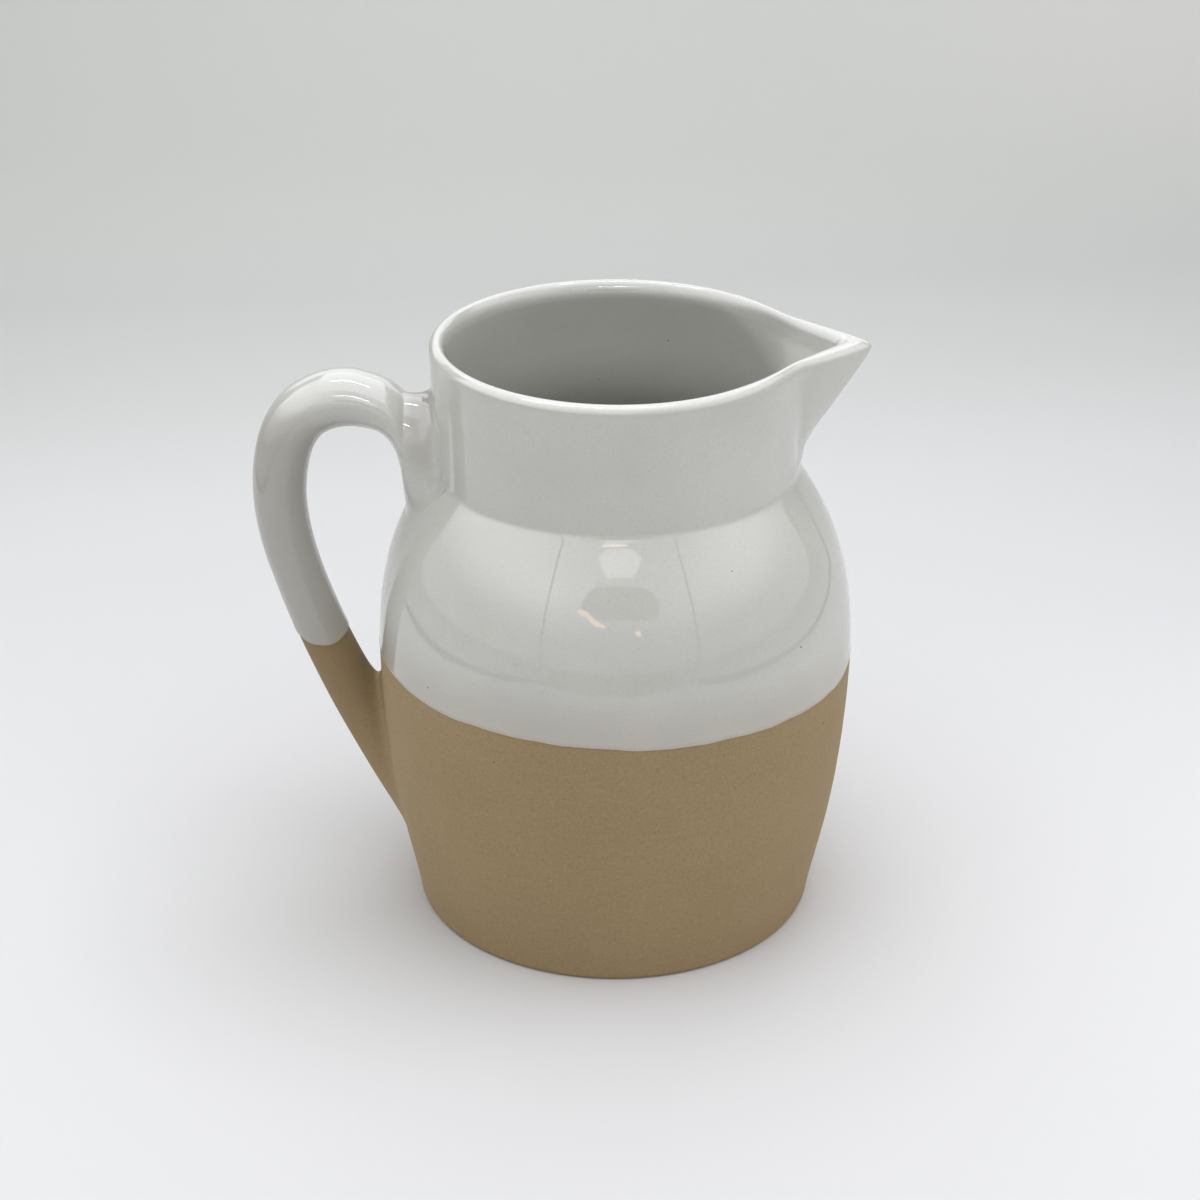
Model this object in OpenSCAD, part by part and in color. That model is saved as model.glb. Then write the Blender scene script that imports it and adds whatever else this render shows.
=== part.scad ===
// Stoneware crock jug: a thrown body, a V-shaped spout luted to the neck, a pulled strap handle, and
// the glaze coats that are fused on them. Millimetres. +Z is up, the origin is the centre of the
// foot on the floor, +X points to the spout and the handle is on the -X side.

/* [Body] */
// Height of the clay body from the floor to the top of the rim
height = 179.6; // [100:0.2:300]
// Radius of the foot where it stands on the floor, measured at its rounded edge
foot_r = 60.5; // [40:0.5:90]
// Radius of the rounding at the foot's edge
foot_round = 1.6; // [0.5:0.1:4]
// Largest radius of the belly
belly_r = 70.8; // [45:0.2:110]
// Height of the belly's largest radius, as a share of the jug's height
belly_share = 0.451; // [0.35:0.001:0.6]
// Height of the crease between the shoulder and the neck, as a share of the jug's height
neck_share = 0.787; // [0.7:0.001:0.85]
// Outer radius of the neck at the crease
neck_low_r = 52.6; // [30:0.2:80]
// Outer radius of the neck just under the rim
neck_r = 53.4; // [30:0.2:80]
// Fullness of the belly below its largest radius
fullness_low = 1.78; // [1.4:0.02:3]
// Fullness of the shoulder above the largest radius
fullness_high = 2.5; // [1.6:0.02:4]

/* [Walls] */
// Thickness of the neck's wall and of the spout's wall at its seams
neck_wall = 3.6; // [2.5:0.1:6]
// Thickness of the belly's wall
belly_wall = 4.8; // [3:0.1:8]
// Thickness of the floor inside the foot
floor_t = 7; // [4:0.5:12]
// Size of the hollow between the wall and the floor inside
cove = 14; // [6:1:24]

/* [Spout] */
// How far the spout's outer edge stands out from the neck, at the rim
spout_out = 20; // [10:0.2:32]
// Width of the lip at the spout's tip, from the outer edge to the corner inside
spout_lip_w = 7.6; // [5:0.1:12]
// Angle on the neck between the spout's middle and each of its seams, at the rim
spout_seam_angle = 35; // [25:1:45]
// Half of the angle between the spout's two flanks
spout_half_angle = 42; // [30:1:55]
// How far the wall runs on round the neck before it turns out, as a share of the spout's reach
ease_in_share = 1.1; // [0.4:0.05:1.3]
// How straight the flank runs back from the spout's edge, as a share of the spout's reach
ease_out_share = 1.85; // [0.6:0.05:2.1]
// Height of the spout's lower end above the crease
spout_rise = 1.2; // [0.5:0.1:8]
// Width of the blunt lower end of the spout
spout_low_w = 3; // [1.5:0.1:6]

/* [Handle] */
// Moves the handle's loop out from the body
handle_out = 0; // [-3:0.5:6]
// Scales the strap's width across the handle
strap_w_scale = 1; // [0.8:0.05:1.3]
// Scales the strap's thickness
strap_t_scale = 1; // [0.85:0.05:1.2]

/* [Glaze] */
// Thickness of the glaze coats
glaze_t = 0.4; // [0.2:0.05:1]
// Height of the outer glaze's lower edge on the jug's axis, as a share of the jug's height
dip_share = 0.468; // [0.25:0.001:0.65]
// Slope of that edge, lower on the spout's side
dip_slope = 1; // [0:0.1:4]

/* [Hidden] */
$fn = 120;

// Number of straight steps along each curve
belly_steps = 22;
rim_steps = 6;
cove_steps = 5;
foot_steps = 3;
flank_steps = 8;
spout_levels = 6;
strap_sides = 16;
strap_steps = 2;

belly_height = belly_share * height;
neck_height = neck_share * height;
dip_height = dip_share * height;

// The rim is a half circle across the neck's wall, centred at rim_z
rim_round = neck_wall / 2;
rim_z = height - rim_round;
spout_z = neck_height + spout_rise;
clear = 30;

clay_color = "#8f7c62";
glaze_color = "#dcdbd6";

// Stations of the strap from its root on the neck, round the loop, to its lower end in the belly:
// distance out from the wall, height as a share of the jug's, direction of the strap's outer face,
// half thickness, half width
strap_rows = [
    [-2.7, 0.807, 90, 18.6, 18.4], [3.3, 0.808, 90, 18.4, 16.4], [8.9, 0.81, 90, 18.2, 12.8],
    [10.8, 0.846, 90, 12.4, 11.2], [13.1, 0.867, 92, 10.5, 10.6], [17, 0.885, 94, 9.1, 10.2],
    [24, 0.9, 97, 8.1, 10], [31.5, 0.893, 112, 7.8, 10], [38.6, 0.866, 134, 7.8, 10],
    [44.1, 0.816, 158, 7.7, 9.9], [40.7, 0.737, 180, 7.4, 9.7], [32.6, 0.657, 190, 7.2, 9.5],
    [25.6, 0.58, 196, 7, 9.3], [19.6, 0.506, 200, 7.1, 9.2], [14.2, 0.431, 203, 7.2, 9.2],
    [8.1, 0.355, 204, 8.4, 9.5], [2.8, 0.283, 206, 8.8, 10], [-1.7, 0.213, 208, 8.2, 10.8],
    [-6.5, 0.153, 212, 7.2, 12], [-12.2, 0.1, 216, 6.4, 12.6]
];

function mix(a, b, t) = a + (b - a) * t;
function reversed(p) = [for (i = [len(p) - 1:-1:0]) p[i]];
function unit(v) = v / norm(v);
function cubic(a, b, c, d, t) =
    pow(1 - t, 3) * a + 3 * pow(1 - t, 2) * t * b + 3 * (1 - t) * t * t * c + pow(t, 3) * d;

// Outer radius of the clay from the foot to the crease
function belly_at(z) = z < belly_height
    ? belly_r - (belly_r - foot_r) * pow((belly_height - z) / belly_height, fullness_low)
    : belly_r - (belly_r - neck_low_r)
        * pow((z - belly_height) / (neck_height - belly_height), fullness_high);
function neck_at(z) =
    mix(neck_low_r, neck_r, min(1, max(0, (z - neck_height) / (rim_z - neck_height))));

// A path moved sideways by t, with mitred corners
function side_of(p, i) = let(
    d0 = unit(p[max(1, i)] - p[max(1, i) - 1]),
    d1 = unit(p[min(len(p) - 1, i + 1)] - p[min(len(p) - 1, i + 1) - 1]),
    n = unit(d0 + d1)
) [n[1], -n[0]] / max(0.5, n * d1);
function moved(p, t) = [for (i = [0:len(p) - 1]) p[i] + t * side_of(p, i)];

// Clay surfaces in the plane through the axis, as radius and height
foot_path = [for (i = [0:foot_steps]) let(a = -90 + 90 * i / foot_steps)
    [foot_r - foot_round + foot_round * cos(a), foot_round + foot_round * sin(a)]];
belly_path = [for (i = [1:belly_steps]) let(z = mix(foot_round, neck_height, i / belly_steps))
    [belly_at(z), z]];
rim_path = [for (i = [0:2 * rim_steps]) let(a = 90 * i / rim_steps)
    [neck_r - rim_round + rim_round * cos(a), rim_z + rim_round * sin(a)]];
outer_path = concat(foot_path, belly_path, rim_path);
outer_wall = [for (i = [0:len(belly_path) - 1])
    belly_path[i] - mix(belly_wall, neck_wall, pow(i / (len(belly_path) - 1), 2)) * side_of(belly_path, i)];
wall_end = floor_t + cove;
inner_wall = reversed([for (p = outer_wall) if (p[1] > wall_end + 1) p]);
wall_low = inner_wall[len(inner_wall) - 1];
cove_path = [for (i = [1:cove_steps]) let(t = i / cove_steps)
    pow(1 - t, 2) * wall_low + 2 * (1 - t) * t * [wall_low[0] - 2, floor_t]
        + t * t * [wall_low[0] - 2 - cove, floor_t]];
inner_path = concat(inner_wall, cove_path, [[0, floor_t]]);
rim_mid = len(foot_path) + len(belly_path) + rim_steps;
clay_path = concat(outer_path, inner_path);

// Half width of the spout between its seams at height z
function seam_at(z) = mix(spout_low_w / 2, neck_r * sin(spout_seam_angle), (z - spout_z) / (rim_z - spout_z));
function lift_at(z) = (z - spout_z) / (rim_z - spout_z);

// Flank of the spout at height z, from its seam to the middle: it leaves a wall of radius r and ends at
// reach from the axis, and its curve shrinks with the distance between the two
function flank(r, reach, z) = let(
    out = max(glaze_t, reach - r),
    y = seam_at(z),
    start = [sqrt(r * r - y * y), y],
    along = [y, -start[0]] / r,
    back = [-cos(spout_half_angle), sin(spout_half_angle)],
    end = [reach, 0]
) [for (i = [0:flank_steps]) let(t = i / flank_steps, blunt = i == flank_steps ? 0.97 : 1)
    let(p = cubic(start, start + ease_in_share * out * along, end + ease_out_share * out * back, end, t))
        [p[0] * mix(1, blunt, 0.35 * out / spout_out), p[1]]];
function whole(f) = concat(f, [for (i = [len(f) - 2:-1:0]) [f[i][0], -f[i][1]]]);
function reach_out(z, t) =
    mix(neck_at(z) + spout_out / 50, neck_r + spout_out, lift_at(z)) + t / sin(spout_half_angle);
function reach_in(z, t) =
    mix(neck_at(z) - neck_wall, neck_r + spout_out - spout_lip_w, max(0, (lift_at(z) - 0.15) / 0.85))
    - t / sin(spout_half_angle);

// Sections of the spout's wall, with t for the glaze on it: up the outside, over the rim, down the inside
function wall_marks(t) = concat(
    [for (i = [0:spout_levels - 1]) [mix(spout_z, rim_z, i / spout_levels), 1]],
    [for (i = [0:2 * rim_steps]) let(a = 90 * i / rim_steps) [rim_z + (rim_round + t) * sin(a), (1 + cos(a)) / 2]],
    [for (i = [spout_levels - 1:-1:0]) [mix(spout_z, rim_z, i / spout_levels), 0]]
);
function spout_grid(t) = [for (m = wall_marks(t)) let(
    z = m[0],
    outside = whole(flank(neck_at(z) + t, reach_out(z, t), z)),
    inside = whole(flank(neck_at(z) - neck_wall - t, reach_in(z, t), z))
) [for (i = [0:2 * flank_steps]) let(p = mix(inside[i], outside[i], m[1])) [p[0], p[1], z]]];

// One closed surface over a grid of points whose rows are closed loops or open lines
function flat_list(rows) = [for (r = rows) each r];
function quads(rows, cols, base, flip, wrap) = [for (i = [0:rows - 2], j = [0:cols - (wrap ? 1 : 2)])
    let(k = (j + 1) % cols, a = base + i * cols + j, b = base + i * cols + k,
        c = base + (i + 1) * cols + k, d = base + (i + 1) * cols + j)
    each (flip ? [[a, b, c], [a, c, d]] : [[a, c, b], [a, d, c]])];

// The spout's wall: the grid's rows run round the wall's section, so its first and last rows meet below
module spout_wall() {
    grid = spout_grid(0);
    rows = len(grid);
    cols = len(grid[0]);
    ends = [for (j = [0, cols - 1]) [for (i = [0:rows - 1]) i * cols + j]];
    low = [for (j = [0:cols - 2]) let(a = j, b = j + 1, c = (rows - 1) * cols + j + 1, d = (rows - 1) * cols + j)
        each [[a, b, c], [a, c, d]]];
    polyhedron(flat_list(grid), concat(quads(rows, cols, 0, false, false), low,
        end_strip(ends[0], false), end_strip(ends[1], true)));
}

// Triangles between the two halves of a bent line of point numbers
function end_strip(line, flip) = [for (i = [0:floor((len(line) - 1) / 2) - 1]) let(
    a = line[i], b = line[i + 1], c = line[len(line) - 2 - i], d = line[len(line) - 1 - i]
) each (b == c ? [flip ? [a, b, d] : [a, d, b]]
    : flip ? [[a, b, c], [a, c, d]] : [[a, c, b], [a, d, c]])];

// The glaze on the spout: the same grid and the grid moved out by the coat, joined at every edge
module spout_coat() {
    clay = spout_grid(0);
    skin = spout_grid(glaze_t);
    rows = len(clay);
    cols = len(clay[0]);
    base = rows * cols;
    sides = [for (i = [0:rows - 2]) let(a = i * cols, b = (i + 1) * cols, c = a + cols - 1, d = b + cols - 1)
        each [[a, b, base + b], [a, base + b, base + a], [c, base + c, base + d], [c, base + d, d]]];
    lows = [for (j = [0:cols - 2]) let(a = j, b = j + 1, c = (rows - 1) * cols + j, d = c + 1)
        each [[a, base + a, base + b], [a, base + b, b], [c, d, base + d], [c, base + d, base + c]]];
    polyhedron(concat(flat_list(clay), flat_list(skin)), concat(quads(rows, cols, 0, true, false),
        quads(rows, cols, base, false, false), sides, lows));
}

// The wedge that is cut from the neck for the spout, bounded by the two seams
module spout_notch() {
    top = height + clear;
    translate([neck_r / 2, 0, 0]) rotate([90, 0, 90]) linear_extrude(height = neck_r)
        polygon([[-seam_at(spout_z), spout_z], [seam_at(spout_z), spout_z],
            [seam_at(top), top], [-seam_at(top), top]]);
}

// The jug's outer shape without its hollow, grown by t
module solid_jug(t) {
    line = moved([for (i = [0:rim_mid]) outer_path[i]], t);
    rotate_extrude() polygon(concat([[0, 0], [foot_r - foot_round, 0]],
        [for (i = [1:rim_mid]) line[i]], [[0, line[rim_mid][1]]]));
}

// A glaze coat on a stretch of the clay's path
module coat(first, last) {
    clay = [for (i = [first:last]) clay_path[i]];
    skin = [for (i = [first:last]) let(p = clay_path[i] + glaze_t * side_of(clay_path, i))
        [i == len(clay_path) - 1 ? 0 : p[0], p[1]]];
    rotate_extrude() polygon(concat(clay, reversed(skin)));
}

// Everything below the level that the jug was dipped to
module below_dip() {
    rotate([0, dip_slope, 0]) translate([-height, -height, dip_height - 2 * height])
        cube([2 * height, 2 * height, 2 * height]);
}

// The same rows as distance from the axis and as height
function wall_at(z) = z < neck_height ? belly_at(z) : neck_at(z);
strap_path = [for (r = strap_rows) let(z = r[1] * height) [wall_at(z) + r[0], z, r[2], r[3], r[4]]];

// The strap's stations, smoothed between those rows
function smooth_row(i, t) = let(
    n = len(strap_path) - 1,
    a = strap_path[max(0, i - 1)], b = strap_path[i],
    c = strap_path[min(n, i + 1)], d = strap_path[min(n, i + 2)]
) 0.5 * (2 * b + (c - a) * t + (2 * a - 5 * b + 4 * c - d) * t * t + (3 * b - a - 3 * c + d) * pow(t, 3));
stations = concat([for (i = [0:len(strap_path) - 2], k = [0:strap_steps - 1]) smooth_row(i, k / strap_steps)],
    [strap_path[len(strap_path) - 1]]);
function strap_ring(s, t) = let(
    reach = s[0] + handle_out * min(1, max(0, (s[0] - neck_r - 9) / 20)),
    thick = s[3] * strap_t_scale + t,
    wide = s[4] * strap_w_scale + t
) [for (j = [0:strap_sides - 1]) let(a = 360 * j / strap_sides, u = thick * cos(a))
    [-reach + u * cos(s[2]), wide * sin(a), s[1] + u * sin(s[2])]];

module strap() {
    rings = [for (s = stations) strap_ring(s, 0)];
    rows = len(rings);
    polyhedron(flat_list(rings), concat(
        [[for (j = [0:strap_sides - 1]) j]],
        quads(rows, strap_sides, 0, false, true),
        [[for (j = [strap_sides - 1:-1:0]) (rows - 1) * strap_sides + j]]));
}

// The glaze on the strap, down to a station below the dip level
module strap_coat() {
    last = floor(len(stations) * 0.78);
    clay = [for (i = [0:last]) strap_ring(stations[i], 0)];
    skin = [for (i = [0:last]) strap_ring(stations[i], glaze_t)];
    rows = last + 1;
    base = rows * strap_sides;
    tail = last * strap_sides;
    rims = [for (j = [0:strap_sides - 1]) let(k = (j + 1) % strap_sides)
        each [[j, k, base + k], [j, base + k, base + j],
            [tail + j, base + tail + k, tail + k], [tail + j, base + tail + j, base + tail + k]]];
    polyhedron(concat(flat_list(clay), flat_list(skin)), concat(quads(rows, strap_sides, 0, true, true),
        quads(rows, strap_sides, base, false, true), rims));
}

// Thrown clay body, with the wedge for the spout cut from its neck
module body() {
    color(clay_color) difference() {
        rotate_extrude() polygon(concat([[0, 0]], clay_path));
        spout_notch();
    }
}

// V-shaped lip of clay between the seams
module spout() {
    color(clay_color) spout_wall();
}

// Pulled strap of clay, shaped to the neck, shoulder and belly at its ends
module handle() {
    color(clay_color) difference() {
        strap();
        solid_jug(0);
    }
}

// Glaze on the outside of the body, from the dip level to the top of the rim
module outer_glaze() {
    color(glaze_color) difference() {
        coat(len(foot_path), rim_mid);
        below_dip();
        spout_notch();
        strap();
    }
}

// Glaze that lines the body, from the top of the rim to the floor
module liner_glaze() {
    color(glaze_color) difference() {
        coat(rim_mid, len(clay_path) - 1);
        spout_notch();
    }
}

// Glaze over the spout, inside and outside
module spout_glaze() {
    color(glaze_color) spout_coat();
}

// Glaze over the upper part of the handle
module handle_glaze() {
    color(glaze_color) difference() {
        strap_coat();
        solid_jug(glaze_t);
        below_dip();
    }
}

body();
spout();
handle();
outer_glaze();
liner_glaze();
spout_glaze();
handle_glaze();
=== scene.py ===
# %% [markdown]
# # A stoneware jug
# This jug is thrown on a wheel, then a V-shaped lip and a pulled strap handle are luted on. It is dipped
# upside down in a pale glaze, so the upper half is glossy and the lower half stays bare clay.
# The imported model gives the frame: the foot's centre is the origin, the spout points to +X and the handle
# to -X. Shapes are worked out in millimetres and stored in metres.

# %% The frame
import math
import bpy
import numpy as np
from mathutils import Matrix, Vector


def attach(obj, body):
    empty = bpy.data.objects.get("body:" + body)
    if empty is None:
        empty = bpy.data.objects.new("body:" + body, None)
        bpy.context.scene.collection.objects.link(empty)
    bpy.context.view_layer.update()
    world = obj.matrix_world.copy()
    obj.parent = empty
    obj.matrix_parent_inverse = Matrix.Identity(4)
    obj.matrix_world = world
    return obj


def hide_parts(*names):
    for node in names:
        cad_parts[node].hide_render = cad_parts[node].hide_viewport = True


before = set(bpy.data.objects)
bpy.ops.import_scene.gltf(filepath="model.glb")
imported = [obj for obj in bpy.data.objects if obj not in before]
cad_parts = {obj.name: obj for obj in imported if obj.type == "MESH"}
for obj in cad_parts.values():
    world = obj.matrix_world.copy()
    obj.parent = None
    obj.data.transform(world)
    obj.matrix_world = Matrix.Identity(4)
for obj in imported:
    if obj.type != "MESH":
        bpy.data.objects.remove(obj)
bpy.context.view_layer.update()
MM = 0.001
print("nodes:", ", ".join(sorted(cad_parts)))

# %% [markdown]
# ## The camera
# The photograph was taken from about 0.86 m away and 26 degrees above the table. A long lens keeps the
# jug's sides nearly parallel. The camera's three axes are written from its pitch, turn and roll, so the
# frame does not depend on a target object.

# %% Camera
CAM_AT = Vector((0.0, -0.72758, 0.45609))
PITCH, TURN, ROLL = math.radians(26.3425), math.radians(-0.3593), math.radians(0.1288)
FOCAL_PIXELS, FRAME_PIXELS, SENSOR = 2696.7, 1200, 36.0
look = Vector((math.sin(TURN) * math.cos(PITCH), math.cos(TURN) * math.cos(PITCH), -math.sin(PITCH)))
across = Vector((math.cos(TURN), -math.sin(TURN), 0.0))
upward = across.cross(look)
right = across * math.cos(ROLL) + upward * math.sin(ROLL)
up = upward * math.cos(ROLL) - across * math.sin(ROLL)
camera_data = bpy.data.cameras.new("camera")
camera_data.sensor_width = SENSOR
camera_data.lens = FOCAL_PIXELS / FRAME_PIXELS * SENSOR
camera = bpy.data.objects.new("camera", camera_data)
axes = Matrix((right, up, -look)).transposed().to_4x4()
camera.matrix_world = Matrix.Translation(CAM_AT) @ axes
bpy.context.scene.collection.objects.link(camera)
bpy.context.scene.camera = camera
print("camera", round(CAM_AT.length, 3), "m from the foot, lens", round(camera_data.lens, 1), "mm")

# %% [markdown]
# ## The thrown profile
# A pot that is thrown on a wheel is a curve turned about an axis. The curve is held as a few radii at
# even heights, and a polynomial runs through them, because a polynomial has no flat spots that gloss
# would show. The neck stands on the shoulder with a soft crease: the larger of the two radii wins, and a
# short blend rounds the corner between them, as a sponge and then glaze would. The round of the lip starts
# at the height RIM_Z and rises by LIP.

# %% Outside radius of the jug
RIM_Z, LIP, CREASE = 177.74, 2.18, 141.36
NECK_R, NECK_FLARE, CREASE_SOFT = 52.75, 1.13, 0.8
BLEND_LOW, BLEND_HIGH, BELLY_TOP = 120, 148, 150
heights = np.arange(8) * 20.19
radii = np.array([60.6, 64.5, 68.0, 70.1, 70.98, 69.9, 64.4, 52.6])
belly = np.polynomial.Polynomial.fit(heights, radii, 6)


def soft_max(a, b, k):
    """The larger of a and b, rounded over a difference of k."""
    h = np.maximum(k - np.abs(a - b), 0) / k
    return np.maximum(a, b) + h * h * k / 4


def outside(z):
    """Radius of the finished surface at height z, in millimetres."""
    z = np.asarray(z, float)
    low = belly(np.minimum(z, BELLY_TOP))
    neck = NECK_R + NECK_FLARE * (z - CREASE) / (RIM_Z - CREASE)
    both = soft_max(low, np.where(z < BLEND_LOW, 0, neck), CREASE_SOFT)
    return np.where(z > BLEND_HIGH, neck, both)


print("belly", round(float(outside(85)), 2), "mm, neck", round(float(outside(160)), 2), "mm")

# %% [markdown]
# ## The hollow
# Inside, the fingers leave no crease: the wall is thicker under the shoulder and the hollow is one smooth
# line down to a rounded cove at the floor. A few radii are joined by straight lines, and the line is then
# averaged over a short stretch, which rounds its corners.

# %% Inside radius of the jug
FLOOR_Z, FLOOR_DIP = 8.0, 0.7
COVE_Z, COVE_IN, COVE_R = 23, 13, 15.2
INSIDE_Z = [0, 20, 40, 60, 81, 100, 112, 122, 130, 137, 144, 152, 162, 172, 186]
INSIDE_R = [54.8, 58.7, 62.4, 64.9, 65.9, 64.8, 62.0, 58.0, 54.0, 50.7, 49.0, 48.7, 48.95, 49.25, 49.6]


def eased(values, width):
    """Values averaged over their neighbours, with the ends kept."""
    kernel = np.exp(-0.5 * (np.arange(-3 * width, 3 * width + 1) / width) ** 2)
    before, after = np.repeat(values[:1], 3 * width, 0), np.repeat(values[-1:], 3 * width, 0)
    padded = np.concatenate([before, values, after])
    columns = [np.convolve(column, kernel / kernel.sum(), "valid") for column in padded.T]
    return np.stack(columns, 1)


table_z = np.arange(0, INSIDE_Z[-1], 0.5)
table_r = eased(np.interp(table_z, INSIDE_Z, INSIDE_R)[:, None], 9)[:, 0]


def inside(z):
    """Radius of the lined hollow at height z, with a cove down to the floor."""
    z = np.asarray(z, float)
    down = (COVE_Z - np.clip(z, FLOOR_Z, COVE_Z)) / COVE_R
    cove = COVE_IN * (1 - np.sqrt(np.clip(1 - down ** 2, 0, 1)))
    return np.interp(z, table_z, table_r) - cove


print("wall at the belly", round(float(outside(85) - inside(85)), 2), "mm")

# %% [markdown]
# ## The spout
# Seen from above, the wall runs round the neck, turns outward in a soft hollow and runs straight to the
# tip, so a cubic curve from the neck's circle to the tip gives one flank. The spout grows from about the
# crease to the rim, and a thin fill of clay softens the crease under it. The curve is turned into a
# distance from the axis for each direction, and so the whole jug stays one grid of directions and rows.

# %% Plan of the spout
HALF_ANGLE, BLUNTER = math.radians(42), math.radians(33)
OUT, LOW, EDGE_OUT = 21.4, 146.0, 0.35
CREASE_FILL, FILL_WIDE, FILL_HIGH = 0.9, 0.5, 3.0


def from_spout(theta):
    """Angle between the directions theta and the spout, from 0 to pi."""
    return np.abs((theta + np.pi) % (2 * np.pi) - np.pi)


def flank_radius(theta, r, reach, y_seam, ease=1.09, tip=0.030, half_angle=HALF_ANGLE):
    """Distance from the axis in the directions theta, for a wall of radius r that reaches out to reach."""
    out = max(reach - r, 1e-3)
    start = np.array([math.sqrt(r * r - y_seam * y_seam), y_seam])
    end = np.array([reach, 0.0])
    leave = start + ease * out * np.array([y_seam, -start[0]]) / r
    arrive = end + 1.87 * out * np.array([-math.cos(half_angle), math.sin(half_angle)])
    t = np.linspace(0, 1, 240)[:, None]
    flank = (1 - t) ** 3 * start + 3 * (1 - t) ** 2 * t * leave + 3 * (1 - t) * t * t * arrive + t ** 3 * end
    angle = np.arctan2(flank[:, 1], flank[:, 0])[::-1]
    dist = np.hypot(flank[:, 0], flank[:, 1])[::-1]
    # The tip is rounded: directions near 0 are read a little away from 0
    soft = np.sqrt(from_spout(theta) ** 2 + (tip * min(1.0, out / OUT)) ** 2)
    return np.where(soft < angle[-1], np.interp(soft, angle, dist), r)


def ramp(z, low, width):
    """0 below low and rising evenly to 1 at the rim, with a soft start and a soft end."""
    x = np.asarray(z, float) - low
    soft = np.where(x > width, x, np.where(x < -width, 0, (x + width) ** 2 / (4 * width)))
    # The end flattens, so the rise before it is a little steeper
    w = soft / (RIM_Z - low) * 1.045
    return w - np.maximum(w - 0.93, 0) ** 2 / 0.28


def outer_radius(theta, z):
    """Outer surface with the spout, for one height z."""
    r, w = float(outside(z)), float(ramp(z, LOW, 9.5))
    up_crease = (float(z) - CREASE - 0.6) / FILL_HIGH
    fill = CREASE_FILL * np.exp(-(from_spout(theta) / FILL_WIDE) ** 2 - up_crease ** 2)
    if w < 1e-3:
        return r + fill
    reach = r + OUT * w + EDGE_OUT * min(1.0, 20 * w)
    blunt = HALF_ANGLE + BLUNTER * (1 - min(w, 1.0)) ** 2
    return fill + flank_radius(theta, r, reach, min(6 + 25 * w, r * 0.6), half_angle=blunt)


print("spout reaches", round(float(outer_radius(np.zeros(1), RIM_Z)[0]), 1), "mm")

# %% [markdown]
# ## The spout's channel
# The channel inside follows the same curve with a shorter reach, so the clay is thickest at the tip. At
# the jug's two sides the lip is a little fuller.

# %% Inner surface with the channel
CHANNEL_SHORT, CHANNEL_EASE, CHANNEL_TIP = 4.6, 1.6, 0.05
SIDE_LIP, SIDE_LIP_Z, SIDE_LIP_HIGH = 1.3, 158, 18


def inner_radius(theta, z):
    """Inner surface with the spout's channel, for one height z."""
    r, w = float(inside(z)), float(ramp(z, LOW + 3, 6.0))
    side = np.sin(theta) ** 2
    grown = float(np.clip((z - SIDE_LIP_Z) / SIDE_LIP_HIGH, 0, 1)) ** 2
    full = side / (0.35 + 0.65 * side) * SIDE_LIP * grown
    if w < 1e-3:
        return np.full_like(theta, r) - full
    reach = r + (OUT - CHANNEL_SHORT) * w
    return flank_radius(theta, r, reach, min(4 + 35 * w, r * 0.78), CHANNEL_EASE, CHANNEL_TIP) - full


print("channel reaches", round(float(inner_radius(np.zeros(1), RIM_Z)[0]), 1), "mm")

# %% [markdown]
# ## The dip line
# The jug was held by its foot and dipped, so the glaze ends in one nearly level line, a little lower on
# the spout's side. Hands are not steady and glaze creeps, so the line wanders by some tenths of a
# millimetre: a few waves of different lengths are added. The same line cuts the handle.

# %% Height of the glaze's edge
DIP_Z, DIP_TILT = 84.0, math.radians(1.0)
WAVES = ((0.22, 3, 0.6), (0.18, 7, 2.1), (0.12, 13, 4.0), (0.09, 23, 1.0), (0.06, 41, 3.0))


def dip_line(theta, x):
    """Height of the glaze's edge in the direction theta, at the distance x along the spout's axis."""
    wander = sum(high * np.sin(count * theta + start) for high, count, start in WAVES)
    return DIP_Z - math.tan(DIP_TILT) * x + wander


print("the line wanders by up to", round(sum(high for high, _, _ in WAVES), 2), "mm")

# %% [markdown]
# ## Grids of points
# Both the clay and the glaze are built as grids: one column for each direction round the axis and one
# row for each step along the profile. More columns stand near the spout, where the curve is tight. One
# helper puts a smooth mesh into the scene. Another joins rows with faces and closes an end with a fan of
# triangles where a piece needs it. A third stores a number on each point, which a finish can read.

# %% Grid helpers
COLUMNS = 448
turn = np.arange(COLUMNS) / COLUMNS * 2 * np.pi
THETA = turn - 0.72 * np.sin(turn)


def to_points(radius, z):
    """A row of points from a radius and a height for each direction."""
    return np.stack([radius * np.cos(THETA), radius * np.sin(THETA), np.broadcast_to(z, radius.shape)], -1)


def mesh_object(name, points, faces, smooth=True):
    """A new mesh in the scene, from points in metres."""
    mesh = bpy.data.meshes.new(name)
    mesh.from_pydata(points, [], faces)
    mesh.validate()
    mesh.polygons.foreach_set("use_smooth", [smooth] * len(mesh.polygons))
    mesh.update()
    made = bpy.data.objects.new(name, mesh)
    bpy.context.scene.collection.objects.link(made)
    return made


def grid_object(name, rows, caps=(False, False)):
    """A mesh from rows of points in millimetres that wrap round; caps close the first or last row."""
    pts = np.asarray(rows, float)
    n, m = pts.shape[:2]
    index = np.arange(n * m).reshape(n, m)
    low, high = index[:-1], index[1:]
    faces = np.stack([low, np.roll(low, -1, 1), np.roll(high, -1, 1), high], -1).reshape(-1, 4).tolist()
    points = (pts.reshape(-1, 3) * MM).tolist()
    for cap, row, way in zip(caps, (0, n - 1), (-1, 1)):
        if cap:
            ring, centre = index[row][::way].tolist(), len(points)
            points.append((pts[row].mean(0) * MM).tolist())
            faces += [[ring[i], ring[(i + 1) % m], centre] for i in range(m)]
    print(name, len(points), "points")
    return mesh_object(name, points, faces)


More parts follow.
